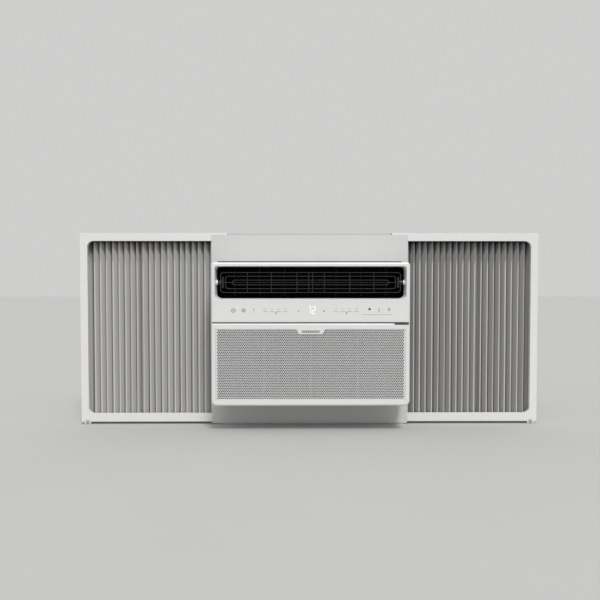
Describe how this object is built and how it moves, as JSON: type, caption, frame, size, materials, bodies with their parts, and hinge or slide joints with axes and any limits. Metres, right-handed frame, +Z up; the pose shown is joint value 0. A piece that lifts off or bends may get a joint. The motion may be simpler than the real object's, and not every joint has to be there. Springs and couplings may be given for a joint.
{
  "type": "window air conditioner",
  "caption": "Window air conditioner with a tilting outlet louver over a touch strip, a perforated drop-front intake panel, and sliding accordion side curtains in U-shaped frames.",
  "frame": {"origin": "underside of the support rail's foot on the window sill, at the middle of its width, in the plane of the window kit's front", "axes": "+Z up, -Y into the room, +Y outdoors, +X to the right as seen from the room"},
  "size_m": [1.148, 0.5014, 0.48],
  "materials": {
    "front_plastic": "fine satin moulded plastic, white",
    "kit_plastic": "satin moulded plastic, white",
    "filler_paint": "satin paint, grey-white",
    "curtain_film": "semi-matte vinyl film, grey",
    "mesh_plastic": "perforated, light grey",
    "badge": "plain satin plate",
    "cabinet_paint": "powder-coated steel, light grey",
    "galvanised": "galvanised sheet",
    "dark_plastic": "matt black moulding",
    "louver_plastic": "satin black moulding",
    "filter_plastic": "matt moulding",
    "filter_net": "fine woven net",
    "foam": "expanded foam, black",
    "aluminium_fin": "bare thin fin stock",
    "copper_tube": "drawn tube, lightly oxidised",
    "compressor_paint": "satin black paint",
    "rubber_black": "matt",
    "board": "coated board",
    "zinc_screw": "zinc plated",
    "white_screw": "painted head",
    "steel_shaft": "ground steel",
    "motor_steel": "zinc plated pressing",
    "fan_plastic": "moulded plastic"
  },
  "bodies": {
    "root": {"support_rail": "galvanised", "lower_filler": "filler_paint", "upper_filler": "filler_paint", "upper_rail": "filler_paint", "side_rails": "kit_plastic", "base_pan": "galvanised", "cabinet_cover": "cabinet_paint", "rear_grille": "cabinet_paint", "partition": "galvanised", "front_bezel": "front_plastic", "front_surround": "front_plastic", "slot_wall": "front_plastic", "filter_guide": "front_plastic", "outlet_sleeve": "front_plastic", "control_overlay": "front_plastic", "outlet_duct": "dark_plastic", "evaporator_fins": "aluminium_fin", "evaporator_tubes": "copper_tube", "drain_tray": "foam", "blower_scroll": "foam", "scroll_cover": "foam", "fan_motor": "motor_steel", "motor_bracket": "galvanised", "condenser_fins": "aluminium_fin", "condenser_tubes": "copper_tube", "fan_shroud": "dark_plastic", "compressor": "compressor_paint", "compressor_grommets": "rubber_black", "compressor_bolts": "zinc_screw", "accumulator": "compressor_paint", "refrigerant_pipes": "copper_tube", "control_box": "galvanised", "circuit_boards": "board", "run_capacitor": "motor_steel", "cord_gland": "dark_plastic", "case_screws": "zinc_screw"},
    "intake_grille": {"intake_grille": "front_plastic", "intake_mesh": "mesh_plastic", "badge_plate": "badge"},
    "filter": {"filter_frame": "filter_plastic", "filter_handle": "filter_plastic", "filter_screen": "filter_net"},
    "louver": {"louver_frame": "louver_plastic"},
    "rotor": {"motor_shaft": "steel_shaft", "blower_wheel": "fan_plastic", "condenser_fan": "fan_plastic"},
    "left_frame": {"left_curtain_frame": "kit_plastic", "left_frame_screws": "white_screw", "left_curtain": "curtain_film"},
    "right_frame": {"right_curtain_frame": "kit_plastic", "right_frame_screws": "white_screw", "right_curtain": "curtain_film"},
    "left_vane_1": {"left_vane_1": "dark_plastic"},
    "left_vane_2": {"left_vane_2": "dark_plastic"},
    "left_vane_3": {"left_vane_3": "dark_plastic"},
    "left_vane_link": {"left_vane_link": "dark_plastic"},
    "right_vane_1": {"right_vane_1": "dark_plastic"},
    "right_vane_2": {"right_vane_2": "dark_plastic"},
    "right_vane_3": {"right_vane_3": "dark_plastic"},
    "right_vane_link": {"right_vane_link": "dark_plastic"}
  },
  "joints": [
    {"name": "grille_open", "type": "hinge", "parent": "root", "child": "intake_grille", "pos_m": [0, -0.093, 0.069], "axis": [1, 0, 0], "range_deg": [0, 75]},
    {"name": "filter_slide", "type": "slide", "parent": "root", "child": "filter", "axis": [1, 0, 0], "range_m": [0, 0.4]},
    {"name": "louver_tilt", "type": "hinge", "parent": "root", "child": "louver", "pos_m": [0, -0.084, 0.3565], "axis": [1, 0, 0], "range_deg": [-18, 18]},
    {"name": "fan_spin", "type": "hinge", "parent": "root", "child": "rotor", "pos_m": [-0.03, 0.15, 0.2], "axis": [0, 1, 0], "continuous": true},
    {"name": "left_curtain_slide", "type": "slide", "parent": "root", "child": "left_frame", "axis": [1, 0, 0], "range_m": [0, 0.19], "deforming": ["left_curtain"]},
    {"name": "right_curtain_slide", "type": "slide", "parent": "root", "child": "right_frame", "axis": [-1, 0, 0], "range_m": [0, 0.19], "deforming": ["right_curtain"]},
    {"name": "left_vane_1_swing", "type": "hinge", "parent": "root", "child": "left_vane_1", "pos_m": [-0.062, -0.046, 0.358], "axis": [0, 0, 1], "range_deg": [-28, 28]},
    {"name": "left_vane_2_swing", "type": "hinge", "parent": "root", "child": "left_vane_2", "pos_m": [-0.122, -0.046, 0.358], "axis": [0, 0, 1], "range_deg": [-28, 28]},
    {"name": "left_vane_3_swing", "type": "hinge", "parent": "root", "child": "left_vane_3", "pos_m": [-0.182, -0.046, 0.358], "axis": [0, 0, 1], "range_deg": [-28, 28]},
    {"name": "left_vane_link_slide", "type": "slide", "parent": "root", "child": "left_vane_link", "axis": [1, 0, 0], "range_m": [-0.0055, 0.0055]},
    {"name": "right_vane_1_swing", "type": "hinge", "parent": "root", "child": "right_vane_1", "pos_m": [0.062, -0.046, 0.358], "axis": [0, 0, 1], "range_deg": [-28, 28]},
    {"name": "right_vane_2_swing", "type": "hinge", "parent": "root", "child": "right_vane_2", "pos_m": [0.122, -0.046, 0.358], "axis": [0, 0, 1], "range_deg": [-28, 28]},
    {"name": "right_vane_3_swing", "type": "hinge", "parent": "root", "child": "right_vane_3", "pos_m": [0.182, -0.046, 0.358], "axis": [0, 0, 1], "range_deg": [-28, 28]},
    {"name": "right_vane_link_slide", "type": "slide", "parent": "root", "child": "right_vane_link", "axis": [1, 0, 0], "range_m": [-0.0055, 0.0055]}
  ],
  "couplings": [
    {"joint": "left_vane_2_swing", "follows": "left_vane_1_swing", "ratio": 1},
    {"joint": "left_vane_3_swing", "follows": "left_vane_1_swing", "ratio": 1},
    {"joint": "left_vane_link_slide", "follows": "left_vane_1_swing", "m_per_rad": -0.01},
    {"joint": "right_vane_2_swing", "follows": "right_vane_1_swing", "ratio": 1},
    {"joint": "right_vane_3_swing", "follows": "right_vane_1_swing", "ratio": 1},
    {"joint": "right_vane_link_slide", "follows": "right_vane_1_swing", "m_per_rad": -0.01}
  ]
}
